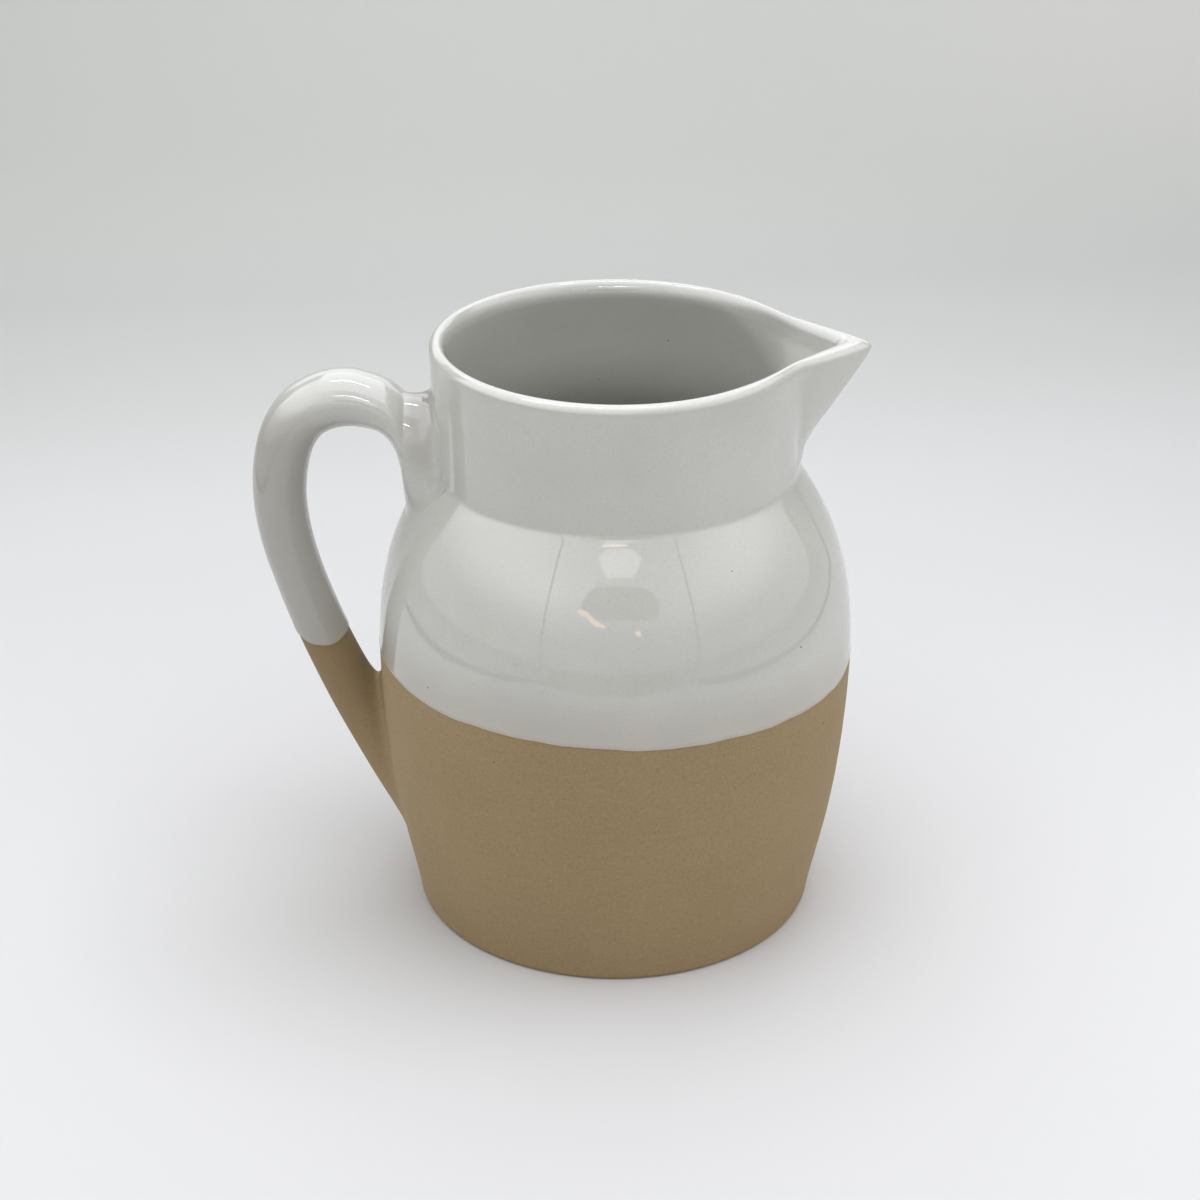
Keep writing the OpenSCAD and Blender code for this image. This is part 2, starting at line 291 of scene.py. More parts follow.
def give(piece, name, values):
    """Stores one number per point on a mesh, for its material to read."""
    layer = piece.data.attributes.new(name, "FLOAT", "POINT")
    full = np.zeros(len(piece.data.vertices))
    flat = np.asarray(values, float).ravel()
    full[:len(flat)] = flat
    layer.data.foreach_set("value", full)


print(COLUMNS, "columns round the jug")

# %% [markdown]
# ## Hand work in the surface
# A thrown wall is never a perfect turning. Fingers leave faint rings that climb in a spiral, and the wall
# is a hair out of round. The rings are a few hundredths of a millimetre deep, so the eye sees them only
# where gloss bends a reflection. The rim is a little lower at the back.

# %% Throwing rings and rim
def hand_work(theta, z):
    """Small departures of the wall from a perfect turning, in millimetres."""
    rings = (0.016 * np.sin(2 * np.pi * z / 13.0 + theta)
             + 0.006 * np.sin(2 * np.pi * z / 7.1 - 2 * theta + 1.3))
    oval = 0.10 * np.cos(2 * theta + 0.8) + 0.05 * np.cos(3 * theta - 1.1)
    return (rings + oval * np.clip(z / 40, 0, 1)) * np.clip((z - 2) / 12, 0, 1)


def rim_drop(theta):
    """The rim is a little low at the back, as a hand-cut rim is."""
    return -0.42 * np.clip(np.sin(theta), 0, 1) ** 2 + 0.06 * np.sin(2 * theta + 1) - 0.02


print("the rim falls by up to", round(float(-rim_drop(THETA).min()), 2), "mm")

# %% [markdown]
# ## The rows of the jug
# Four stretches make one path: the outside from the foot to the lip, the half-round lip, the inside down
# to the cove, and the floor. The clay takes the whole path, sunk by the glaze's thickness where it is
# dipped. The glaze takes it from the dip line on. Rows stand close together at the crease, where the
# profile bends most.

# %% Rows from the foot to the floor inside
GLAZE = 0.4
# How far the round of the lip runs down on its inner side: less beside the spout
LIP_FALL = 2.6 - 1.8 * np.clip((0.80 - from_spout(THETA)) / 0.4, 0, 1)


def lip_rows(sink, steps=16):
    """Rows over the lip, from outside to inside, with the surface sunk by sink."""
    rows = []
    o, i = outer_radius(THETA, RIM_Z) - sink, inner_radius(THETA, RIM_Z - 1.5) + sink
    for k in range(1, steps):
        a = math.pi * k / steps
        z = RIM_Z + (LIP - sink) * math.sin(a)
        if a > math.pi / 2:
            z = RIM_Z - LIP_FALL + (LIP + LIP_FALL - sink) * math.sin(a)
        rows.append(to_points((o + i) / 2 + (o - i) / 2 * math.cos(a), z + rim_drop(THETA)))
    return rows


def wall_rows(levels, sink, radius_at, sign):
    """Rows at level heights on the outside (sign 1) or the inside (sign -1)."""
    rows = []
    for z in levels:
        bend = hand_work(THETA, z) * (1 if sign > 0 else 0.6)
        drop = rim_drop(THETA) * np.clip((z - 150) / 28, 0, 1)
        rows.append(to_points(radius_at(THETA, z) + bend * sign - sign * sink, z + drop))
    return rows


def floor_rows(row):
    """Rows from the foot of the hollow in towards the middle of the floor."""
    return [row * np.array([f, f, 1]) - np.array([0, 0, FLOOR_DIP]) for f in (0.8, 0.5, 0.2)]


upper = np.concatenate([np.arange(100, 136, 2.0), np.arange(136, 139.4, 0.7), np.arange(139.5, 143.6, 0.3),
                        np.arange(143.8, 150, 0.7), np.arange(150, RIM_Z, 1.4), [RIM_Z]])
under = np.concatenate([np.arange(RIM_Z - 3.2, 110, -1.5), np.arange(110, 26, -3.0),
                        np.arange(24, 8.4, -0.9), [FLOOR_Z]])
print(len(upper), "rows outside,", len(under), "rows inside")

# %% [markdown]
# ## The clay pot
# The foot stands flat on the table, and its edge is rounded by a wet thumb. Under the glaze the clay
# carries on up the wall, over the rim and down inside, so the piece is the whole pot, closed all round.

# %% Clay pot
FOOT_ROUND, BELLY_R = 1.8, 71
foot_r = float(outside(FOOT_ROUND)) - FOOT_ROUND
clay_rows = []
for a in np.radians(np.linspace(-90, 0, 7)):
    radius = np.full(COLUMNS, foot_r + FOOT_ROUND * math.cos(a))
    clay_rows.append(to_points(radius, FOOT_ROUND + FOOT_ROUND * math.sin(a)))
clay_rows += wall_rows(np.arange(3.0, 80, 1.9), 0.0, outer_radius, 1)
dip = dip_line(THETA, BELLY_R * np.cos(THETA))
for past in (-1.2, -0.5, -0.15, 0.1, 0.5, 1.5):
    z = dip + past
    sink = GLAZE * np.clip((past + 0.15) / 0.6, 0, 1)
    clay_rows.append(to_points(outside(z) + hand_work(THETA, z) - sink, z))
clay_rows += wall_rows(np.arange(88, 100, 2.0), GLAZE, outer_radius, 1)
clay_rows += wall_rows(upper, GLAZE, outer_radius, 1)
clay_rows += lip_rows(GLAZE)
clay_rows += wall_rows(under, -GLAZE, inner_radius, 1)
clay_rows += floor_rows(clay_rows[-1])
clay_pot = grid_object("clay_pot", clay_rows, caps=(True, True))

# %% [markdown]
# ## The glaze on the pot
# Glaze is glass about 0.4 mm thick. At the dip line it ends in a rounded edge, with a slight roll where
# it drew together in the kiln. The skin is offset from the clay, so it is open at the dip line, where it
# lies on the pot. Each point keeps its distance from the edge, and inside the jug the number runs on from
# 160, so that the finish can tell the outside, the hollow and the floor apart.

# %% Glaze skin of the pot
EDGE_STEPS = np.array([0.0, 0.04, 0.12, 0.25, 0.42, 0.65, 1.0, 1.5, 2.2, 3.2, 4.5, 6.0])
LIP_MARK, HOLLOW_MARK, FLOOR_MARK = 60.0, 160.0, 330.0


def edge_depth(s):
    """Thickness of the glaze at the distance s above its edge."""
    rise = np.sqrt(np.clip(1 - (1 - np.clip(s / 0.55, 0, 1)) ** 2, 0, 1))
    return GLAZE * rise + 0.07 * np.exp(-((s - 1.3) / 1.0) ** 2) * np.clip(s / 0.6, 0, 1)


skin, marks = [], []
for s in EDGE_STEPS:
    z = dip + s
    sink = GLAZE * np.clip(s / 0.6, 0, 1)
    skin.append(to_points(outside(z) + hand_work(THETA, z) - sink + edge_depth(s), z))
    marks.append(np.full(COLUMNS, s))
levels = np.concatenate([np.arange(92, 100, 2.0), upper])
skin += wall_rows(levels, 0.0, outer_radius, 1)
marks += [z - dip for z in levels]
skin += lip_rows(0.0)
skin += wall_rows(under, 0.0, inner_radius, -1)
skin += floor_rows(skin[-1])
glaze_pot = grid_object("glaze_pot", skin, caps=(False, True))
from_edge = np.full((len(skin), COLUMNS), LIP_MARK)
from_edge[:len(marks)] = marks
from_edge[-len(under) - 3:-3] = (HOLLOW_MARK + RIM_Z - under)[:, None]
from_edge[-3:] = FLOOR_MARK
give(glaze_pot, "from_edge", from_edge)

# %% [markdown]
# ## The path of the handle
# The strap is pulled from a lump of wet clay, so it is oval and thins along its length. Its path is set
# by given stations: distance behind the axis, height, the direction that its outer face looks in,
# half its thickness and half its width. A curve runs through them. It is eased, and what the easing took
# off is added back once, so that bends keep their size.

# %% Stations of the strap
STATIONS = np.array([
    [40, 143.6, 90, 17.2, 15.5], [48, 143.8, 90, 17.3, 15.0], [54, 144.0, 90, 17.3, 14.2],
    [58.6, 144.4, 90, 17.1, 13.2], [61.2, 146.2, 90, 15.6, 12.2], [62.1, 150.0, 90, 12.1, 11.5],
    [63.6, 154.2, 90, 9.2, 11.0], [66.2, 157.5, 91, 8.1, 10.5], [70, 159.8, 94, 7.65, 10.2],
    [77, 161.3, 98, 8.0, 10], [84.6, 160.2, 112, 8.0, 10], [91.9, 155.7, 134, 8.0, 10],
    [97.0, 146.4, 158, 7.8, 9.9], [99.2, 132.3, 179, 7.5, 9.7], [98.0, 118, 190, 7.25, 9.5],
    [94.6, 104.2, 196, 7.0, 9.3], [90.2, 90.8, 200, 7.1, 9.2], [85, 77.4, 203, 7.25, 9.2],
    [79, 64.0, 204.5, 7.6, 9.4], [72.6, 51.0, 206, 7.8, 9.9], [66.0, 38.2, 208, 7.9, 10.8],
    [59.6, 27.0, 212, 7.6, 12], [52, 17.4, 216, 6.8, 12.6]])
SIDES, MIDDLE = 160, 250


def through(rows, steps):
    """A curve through the rows, with steps points between each two."""
    out, n = [], len(rows) - 1
    for i in range(n):
        a, b, c, d = rows[max(0, i - 1)], rows[i], rows[i + 1], rows[min(n, i + 2)]
        for k in range(steps):
            t = k / steps
            out.append(0.5 * (2 * b + (c - a) * t + (2 * a - 5 * b + 4 * c - d) * t * t
                              + (3 * b - a - 3 * c + d) * t ** 3))
    return np.array(out + [rows[-1]])


raw = through(STATIONS, 20)
stations = eased(2 * raw - eased(raw, 5), 5)
COUNT = len(stations)
back, height, tilt, thick, wide = stations.T
tilt = np.radians(tilt)
centre = np.stack([-back, 0 * back, height], 1)
face = np.stack([np.cos(tilt), 0 * tilt, np.sin(tilt)], 1)
onward = np.stack([-np.sin(tilt), 0 * tilt, np.cos(tilt)], 1)
phi = np.arange(SIDES) / SIDES * 2 * np.pi
phi = phi + 0.3 * np.sin(2 * phi)
lines = (centre[None] + face[None] * (thick[None] * np.cos(phi)[:, None])[..., None]
         + np.array([0, 1.0, 0]) * (wide[None] * np.sin(phi)[:, None])[..., None])
print(COUNT, "stations, strap", round(2 * thick[MIDDLE], 1), "by", round(2 * wide[MIDDLE], 1), "mm")

# %% [markdown]
# ## Luting the handle on
# The potter wets both ends, presses them on and smooths the clay with a finger, so the strap and the wall
# run into each other in a hollow. Two distances describe it: the distance from the wall and the distance
# from the strap. Where both are small, the smaller one is taken and something more is taken off, and the
# surface where the result is zero is the smoothed joint.

# %% Distances from the wall and from the strap
def clay_outside(z):
    """Radius of the clay, which lies under the glaze above the dip line."""
    return outside(z) - GLAZE * np.clip((z - 85.4) / 0.6, 0, 1)


def wall_gap(p):
    """Distance of points from the wall."""
    slope = clay_outside(p[..., 2] + 0.5) - clay_outside(p[..., 2] - 0.5)
    return (np.hypot(p[..., 0], p[..., 1]) - clay_outside(p[..., 2])) / np.sqrt(1 + slope ** 2)


def strap_gap(p, first, last):
    """Distance of points from the strap between the stations first and last."""
    ahead = (p @ onward[first:last].T) - (centre[first:last] * onward[first:last]).sum(1)
    n, i = np.arange(len(p)), np.clip(np.abs(ahead).argmin(1), 1, last - first - 2)
    j = np.where(np.sign(ahead[n, i + 1]) != np.sign(ahead[n, i]), i + 1, i - 1)
    here, there = ahead[n, i], ahead[n, j]
    t = np.clip(here / np.where(np.abs(here - there) > 1e-9, here - there, 1), 0, 1)
    # The oval at each point is read between the two stations beside it
    middle, facing, half_thick, half_wide = [
        v[i + first] + (v[j + first] - v[i + first]) * (t[:, None] if v.ndim > 1 else t)
        for v in (centre, face, thick, wide)]
    u, y = ((p - middle) * facing).sum(1), p[:, 1]
    ratio = np.sqrt((u / half_thick) ** 2 + (y / half_wide) ** 2)
    rate = np.sqrt((u / half_thick ** 2) ** 2 + (y / half_wide ** 2) ** 2) / np.maximum(ratio, 1e-6)
    return (ratio - 1) / np.maximum(rate, 1e-3)


def slope_of(f, p, e=0.05):
    """Direction in which f grows fastest, at each point."""
    return np.stack([(f(p + e * axis) - f(p - e * axis)) / (2 * e) for axis in np.eye(3)], -1)


def length_of(v):
    """Length of each vector, kept as a column."""
    return np.linalg.norm(v, axis=-1, keepdims=True)


def run_along(line):
    """Distance from a line's first point to each of its points."""
    return np.r_[0, np.cumsum(np.linalg.norm(np.diff(line, axis=0), axis=1))]


def read_at(at, known, line):
    """Points of a line at the places at, where known gives the place of each of its points."""
    return np.stack([np.interp(at, known, line[:, k]) for k in range(3)], 1)


print("the handle's grip stands", round(float(wall_gap(centre[MIDDLE][None])[0]), 1), "mm off the wall")

# %% [markdown]
# ## Walking over the hollow
# Each line of the strap meets the hollow at one point. From there the line walks on in short strides over
# the surface of the joint, away from the strap and towards the wall, and each stride is put back onto the
# surface. The walk ends on the wall, and its points are then spread evenly into rows.

# %% Walk over the hollow
UPPER_LAST, LOWER_FIRST = 190, 250


def joint_rows(order, first, last, size, steps, stride=0.35):
    """Rows over the hollow, from the strap to the wall, and the station where each line leaves the strap."""
    starts, p = [], []
    for line in lines:
        value = wall_gap(line) - size(line)
        a, b = next((a, b) for a, b in zip(order[:-1], order[1:]) if value[a] > 0 >= value[b])
        t = value[a] / (value[a] - value[b])
        starts.append(a + t * (b - a))
        p.append(line[a] + t * (line[b] - line[a]))
    p = np.array(p)

    def strap(q):
        return strap_gap(q, first, last)

    def joined(q):
        a, b, k = wall_gap(q), strap(q), size(q)
        return np.minimum(a, b) - np.maximum(k - np.abs(a - b), 0) ** 2 / (4 * k)

    path, over = [p], np.zeros(SIDES, bool)
    while not over.all() and len(path) < 150:
        up_wall, out_strap, n = slope_of(wall_gap, p), slope_of(strap, p), slope_of(joined, p)
        go = out_strap / length_of(out_strap) - up_wall / length_of(up_wall)
        go -= (go * n).sum(1, keepdims=True) * n / (n * n).sum(1, keepdims=True)
        q = p + stride * go / np.maximum(length_of(go), 1e-9)
        for _ in range(2):
            n = slope_of(joined, q)
            q = q - (joined(q) / (n * n).sum(1))[:, None] * n
        p = np.where(over[:, None], p, q)
        path.append(p)
        over = over | ((strap(p) - wall_gap(p)) / size(p) >= 1)
    path, rows = np.array(path), []
    for j in range(SIDES):
        run = run_along(path[:, j])
        rows.append(read_at(np.linspace(0, run[-1], steps + 1)[1:], run, path[:, j]))
    return np.stack(rows, 1), np.array(starts), len(path)


def upper_size(p):
    """Size of the hollow at the upper joint: wide below, narrow on top and at the sides."""
    on_top = np.clip((p[..., 2] - 157) / 6, 0, 1)
    aside = np.clip((np.abs(p[..., 1]) - 5) / 6, 0, 1)
    return 8.0 - 3.0 * on_top - 2.2 * aside


def lower_size(p):
    """Size of the hollow at the lower joint: the crotch is filled more than the sides."""
    above_end = np.clip((p[..., 2] - 18) / 14, 0, 1)
    crotch = np.clip((p[..., 2] - 56) / 14, 0, 1)
    return 1.6 + 2.6 * above_end + 1.6 * crotch


upper_hollow, upper_cut, n_up = joint_rows(range(MIDDLE, -1, -1), 0, UPPER_LAST, upper_size, 26)
lower_hollow, lower_cut, n_low = joint_rows(range(MIDDLE, COUNT), LOWER_FIRST, COUNT, lower_size, 20)
print("hollows walked in", n_up, "and", n_low, "steps; strap kept from station",
      int(upper_cut.max()), "to", int(lower_cut.min()))

# %% [markdown]
# ## The clay strap
# The rows between the joints follow each line of the strap at even steps, so the faces stay square. The
# joints' rows close the surface onto the wall, and one more row at each end is sunk into the wall, so that
# no edge shows.

# %% Clay strap
def even_rows(n):
    """Rows between the two joints, each line divided into n equal steps of stations."""
    f = np.linspace(0, 1, n)[:, None]
    at = upper_cut[None, :] * (1 - f) + lower_cut[None, :] * f
    i = np.clip(np.floor(at).astype(int), 0, COUNT - 2)
    t = (at - i)[..., None]
    j = np.arange(SIDES)[None, :]
    return lines[j, i] * (1 - t) + lines[j, i + 1] * t


def landed(rows, proud, reach=5):
    """The rows, drawn onto the pot's surface at their first row, which stands proud of it by proud."""
    theta, z = np.arctan2(rows[..., 1], rows[..., 0]), rows[..., 2]
    r = np.hypot(rows[..., 0], rows[..., 1])
    coat = GLAZE * np.clip((z[0] - dip_line(theta[0], rows[0, :, 0]) + 0.15) / 0.6, 0, 1)
    off = r[0] - (outside(z[0]) + hand_work(theta[0], z[0]) - coat + proud)
    fade = np.clip(1 - np.arange(len(rows)) / reach, 0, 1) ** 2
    scale = 1 - fade[:, None] * off[None] / r
    return np.stack([rows[..., 0] * scale, rows[..., 1] * scale, z], -1)


def into_wall(row, depth):
    """The row again, sunk into the wall, so that the joint has no open edge."""
    scale = (outside(row[:, 2]) - depth) / np.hypot(row[:, 0], row[:, 1])
    return np.stack([row[:, 0] * scale, row[:, 1] * scale, row[:, 2]], -1)[None]


strap_rows = np.concatenate([landed(upper_hollow[::-1], 0.0), even_rows(190),
                             landed(lower_hollow[::-1], 0.0)[::-1]])
clay_strap = grid_object("clay_strap", np.concatenate([
    into_wall(strap_rows[2], 2.6), strap_rows[2:], into_wall(strap_rows[-1], 1.2)]), caps=(True, True))

# %% [markdown]
# ## The glaze on the strap
# The dip left a level line across the strap too. For each line along the strap, points are gathered
# towards the height of that line, and the skin is offset from the clay by the same rounded edge. At the
# joint the glaze pooled in a slight bead.

# %% Glaze skin of the strap
SAMPLE, TOP_ROWS = 120, 90


def surface_normals(rows):
    """Outward directions of a grid of rows that wrap round."""
    n = np.cross(np.roll(rows, -1, 1) - np.roll(rows, 1, 1), np.gradient(rows, axis=0))
    n = n / np.maximum(length_of(n), 1e-9)
    away = rows[SAMPLE] - rows[SAMPLE].mean(0)
    return -n if (n[SAMPLE] * away).sum() < 0 else n


def glaze_line(p, n, angle):
    """Points of the skin along one line p of the strap with normals n, and their distance from its edge."""
    level = (dip_line(math.pi, p[:, 0]) + 0.4 + 0.5 * math.cos(angle) + 1.2 * math.cos(2 * angle)
             + 0.15 * math.sin(3 * angle) + 0.1 * math.sin(7 * angle))
    above, number, run = p[:, 2] - level, np.arange(len(p)), run_along(p)
    below = np.nonzero((above < 0) & (number > TOP_ROWS))[0][0]
    stop = below - 1 + above[below - 1] / (above[below - 1] - above[below])
    full = np.interp(stop, number, run)
    dist = np.concatenate([np.arange(0, 4, 0.3), np.linspace(4, full - 6, 150), full - EDGE_STEPS[-2::-1]])
    at = np.interp(dist, run, number)
    bead = 0.16 * np.exp(-((dist - 1.1) / 0.7) ** 2) - 0.12 * np.exp(-(dist / 0.5) ** 2)
    bead = bead * np.clip((p[0, 2] - 144) / 4, 0, 1)
    depth = edge_depth(full - dist) + bead
    return read_at(at, number, p) + read_at(at, number, n) * depth[:, None], full - dist


normals = surface_normals(strap_rows)
coats, edges = zip(*(glaze_line(strap_rows[:, j], normals[:, j], phi[j]) for j in range(SIDES)))
coat_rows = landed(np.stack(coats, 1), GLAZE - 0.03, 14)
glaze_strap = grid_object("glaze_strap", np.concatenate([into_wall(coat_rows[0], 2.0), coat_rows]))
edges = np.stack(edges, 1)
give(glaze_strap, "from_edge", np.concatenate([edges[:1], edges]))

# %% [markdown]
# ## Writing shaders as sums
# A material is a graph of nodes, and long chains of Math nodes are hard to read. Here a small class holds
# one socket and adds a Math node whenever Python adds, subtracts, multiplies or divides it. Every other
# node comes from one method that takes its type, its settings and what its sockets get.

# %% Shader sums
def operator(operation, reflected=False):
    """A method that adds one Math node; reflected puts the other value first, so that 1 - mask works."""
    def method(self, other):
        a, b = (other, self) if reflected else (self, other)
        return self.graph.node("ShaderNodeMath", {"operation": operation}, {0: a, 1: b})
    return method


class Link:
    """One socket of a shader graph, used in Python sums."""

    def __init__(self, graph, socket):
        self.graph, self.socket = graph, socket

    __add__, __radd__ = operator("ADD"), operator("ADD", True)
    __sub__, __rsub__ = operator("SUBTRACT"), operator("SUBTRACT", True)
    __mul__, __rmul__ = operator("MULTIPLY"), operator("MULTIPLY", True)
    __truediv__, __rtruediv__ = operator("DIVIDE"), operator("DIVIDE", True)


class Graph:
    """The node tree of one new material, or a tree that is given."""

    def __init__(self, name, tree=None, **surface):
        self.tree = tree
        if tree is not None:
            return
        self.material = bpy.data.materials.new(name)
        self.material.use_nodes = True
        self.tree = self.material.node_tree
        self.shader = self.tree.nodes["Principled BSDF"]
        for socket, value in surface.items():
            self.shader.inputs[socket.replace("_", " ")].default_value = value

    def node(self, kind, settings=None, sockets=None, output=0):
        made = self.tree.nodes.new(kind)
        for key, value in (settings or {}).items():
            if key == "stops":
                ramp_stops = made.color_ramp.elements
                while len(ramp_stops) < len(value):
                    ramp_stops.new(0.5)
                for stop, (position, colour) in zip(ramp_stops, value):
                    stop.position, stop.color = position, (*colour, 1.0)
            else:
                setattr(made, key, value)
        for key, value in (sockets or {}).items():
            self.feed(made.inputs[key], value)
        return Link(self, made.outputs[output])

    def feed(self, socket, value):
        if isinstance(value, Link):
            self.tree.links.new(value.socket, socket)
        elif isinstance(value, tuple) and socket.type == "RGBA":
            socket.default_value = (*value[:3], 1.0)
        else:
            socket.default_value = value

    def surface(self, **links):
        for key, value in links.items():
            self.feed(self.shader.inputs[key.replace("_", " ")], value)


def linear(r, g, b):
    """A colour as the eye reads it, 0 to 255, turned into the light values that a shader takes."""
    return tuple((c / 255 / 12.92) if c <= 10.3 else ((c / 255 + 0.055) / 1.055) ** 2.4 for c in (r, g, b))


print("a middle grey gives", round(linear(128, 128, 128)[0], 3), "of the light back")

# %% [markdown]
# ## Patterns that both finishes use
# Noise and specks are measured in millimetres on the piece, so that their scale is right from near and
# from far. Specks are cells of a pattern whose centre is close and whose random number is high. Masks run
# from 0 to 1 and say where a layer of colour shows, and layers are laid one over the other.

# %% Pattern helpers
def place(graph, scale=1.0, stretch=(1, 1, 1)):
    """Object coordinates in millimetres, scaled."""
    at = graph.node("ShaderNodeTexCoord", output="Object")
    size = tuple(scale * s / MM for s in stretch)
    return graph.node("ShaderNodeVectorMath", {"operation": "MULTIPLY"}, {0: at, 1: size})


def part_of(graph, vector, axis):
    """One of the three numbers of a vector."""
    return graph.node("ShaderNodeSeparateXYZ", {}, {0: vector}, axis)


def noise(graph, size, detail=3.0, stretch=(1, 1, 1), rough=0.5):
    """Noise from 0 to 1 whose grain is size millimetres."""
    return graph.node("ShaderNodeTexNoise", {}, {"Vector": place(graph, 1.0 / size, stretch), "Scale": 1.0,
                                                 "Detail": detail, "Roughness": rough})


def step(graph, value, low, high):
    """0 below low, 1 above high."""
    return graph.node("ShaderNodeMapRange", {"interpolation_type": "SMOOTHSTEP"},
                      {"Value": value, "From Min": low, "From Max": high})


def specks(graph, cell, radius, share, shift=0.0):
    """Round spots of the given radius, in the given share of the cells of a grid of cell millimetres."""
    moved = {0: place(graph, 1.0 / cell), 1: (shift, shift * 0.7, shift * 1.3)}
    at = graph.node("ShaderNodeVectorMath", {"operation": "ADD"}, moved)
    far = graph.node("ShaderNodeTexVoronoi", {"feature": "F1"}, {"Vector": at, "Scale": 1.0}, "Distance")
    pick = graph.node("ShaderNodeTexVoronoi", {"feature": "F1"}, {"Vector": at, "Scale": 1.0}, "Color")
    chance = graph.node("ShaderNodeSeparateColor", {}, {"Color": pick}, "Red")
    size = graph.node("ShaderNodeSeparateColor", {}, {"Color": pick}, "Green")
    spot = 1 - step(graph, far / (0.35 + 0.65 * size), radius / cell * 0.6, radius / cell * 1.15)
    return spot * step(graph, chance, 1 - share, 1 - share * 0.9)


def blend(graph, mask, a, b):
    """Colour a where mask is 0 and colour b where it is 1."""
    return graph.node("ShaderNodeMix", {"data_type": "RGBA"}, {0: mask, 6: a, 7: b}, 2)


def layered(graph, tone, layers):
    """A first tone with layers over it, each a mask and a colour."""
    for mask, colour in layers:
        tone = blend(graph, mask, tone, linear(*colour))
    return tone


def strap_side_shade(graph):
    """Mask of painted shade: 1 on the handle's long side and 0 on its top and on the pot."""
    behind = 0.0 - part_of(graph, place(graph), "X")
    high = part_of(graph, place(graph), "Z")
    return step(graph, behind, 68, 84) * (1 - step(graph, high, 148, 166))


def joint_saddle_shade(graph):
    """Mask of painted shade: 1 on the saddle where the handle meets the neck, fading downwards, and 0
    elsewhere.
    """
    behind = 0.0 - part_of(graph, place(graph), "X")
    high = part_of(graph, place(graph), "Z")
    saddle = step(graph, behind, 51.5, 54.5) * (1 - step(graph, behind, 58.0, 63.5))
    return saddle * step(graph, high, 138, 158)


print("patterns ready")

# %% [markdown]
# ## Bare stoneware
# Fired stoneware without glaze is a sandy brown with a fine tooth. It shows soft blotches from the flame,
# level lines from the turning tool, pale and dark grains, and now and then an iron speck. It has no gloss.
# Painted shade makes the handle's long side a little darker, as it gets less of the light from above.

# %% Bare clay
def bare_clay():
    g = Graph("bare_clay", Roughness=0.8)
    blotch, grain, sand = noise(g, 26, 4), noise(g, 0.9, 3, rough=0.75), noise(g, 0.35, 2, rough=0.8)
    turned = noise(g, 9, 2, stretch=(0.12, 0.12, 6))
    tone = layered(g, linear(147, 127, 92), (
        (step(g, blotch, 0.35, 0.68), (151, 130, 95)),
        (step(g, turned, 0.42, 0.62) * 0.08, (136, 117, 84)),
        (step(g, grain, 0.50, 0.70) * 0.42, (166, 147, 111)),
        (step(g, 1 - grain, 0.52, 0.70) * 0.46, (127, 107, 74)),
        (step(g, sand, 0.58, 0.78) * 0.25, (176, 153, 116)),
        (specks(g, 3.4, 0.20, 0.10) * 0.55, (100, 79, 54)),
        (specks(g, 8.0, 0.42, 0.36, 3.1) * 0.95, (58, 44, 33)),
        # painted shade on the handle's long side
        (strap_side_shade(g) * 0.6, (126, 106, 74))))
    height = grain * 0.6 + turned * 0.15 + sand * 0.35
    bump = g.node("ShaderNodeBump", {}, {"Height": height, "Strength": 0.35, "Distance": 0.00012})
    g.surface(Base_Color=tone, Roughness=0.72 + 0.16 * noise(g, 3, 2), Normal=bump)
    return g.material


clay = bare_clay()
print("finish:", clay.name)

# %% [markdown]
# ## Pale glaze
# The glaze is glass that is clouded white. It is warmer where it is thin: at its lower edge the clay warms
# it within a millimetre, and it stays a little warm for some way above. Painted shade greys the saddle of
# the upper joint and the handle's long side, and the hollow too, more so towards the floor. Iron from the
# clay bleeds through as a few dark specks, and a slow ripple bends reflections slightly.

# %% Pale glaze
def pale_glaze():
    g = Graph("pale_glaze", Roughness=0.03, IOR=1.56)
    edge = g.node("ShaderNodeAttribute", {"attribute_name": "from_edge"}, {}, "Fac")
    tone = layered(g, linear(194, 194, 189), (
        (step(g, noise(g, 30, 3), 0.35, 0.7), (199, 199, 193)),
        (step(g, noise(g, 2.2, 3), 0.55, 0.8) * 0.25, (180, 176, 169)),
        (step(g, noise(g, 0.55, 2), 0.35, 0.65) * 0.22, (176, 176, 169)),
        ((1 - step(g, edge, 2, 18)) * 0.45, (170, 162, 148)),
        # painted shade on the handle's long side
        (strap_side_shade(g) * 0.8, (164, 161, 154)),
        # painted shade in the saddle of the upper joint
        (joint_saddle_shade(g) * 0.8, (158, 154, 148)),
        # painted shade inside the hollow, deeper towards the floor
        (step(g, edge, 100, HOLLOW_MARK) * 0.22, (176, 174, 168)),
        (step(g, edge, HOLLOW_MARK + 18, HOLLOW_MARK + 56) * 0.45, (146, 144, 139)),
        ((1 - step(g, edge, 0.1, 1.3)) * 0.55, (176, 163, 142)),
        (specks(g, 9.0, 0.36, 0.11) * 0.55, (120, 112, 100)),
        (specks(g, 9.5, 0.40, 0.42, 5.3) * 0.95, (52, 48, 44))))
    ripple = noise(g, 16, 1) + noise(g, 5, 1) * 0.10
    bump = g.node("ShaderNodeBump", {}, {"Height": ripple, "Strength": 0.25, "Distance": 0.00018})
    g.surface(Base_Color=tone, Roughness=0.025 + 0.025 * noise(g, 8, 2), Normal=bump)
    return g.material


glaze = pale_glaze()
for piece, finish in ((clay_pot, clay), (glaze_pot, glaze), (clay_strap, clay), (glaze_strap, glaze)):
    piece.data.materials.append(finish)
print("finish:", glaze.name)

# %% [markdown]
# ## What rides on what
# All clay is fired together and the glaze is fused on, so every piece rides the one body. Each smooth
# piece here stands for the solids of the same clay or coat.

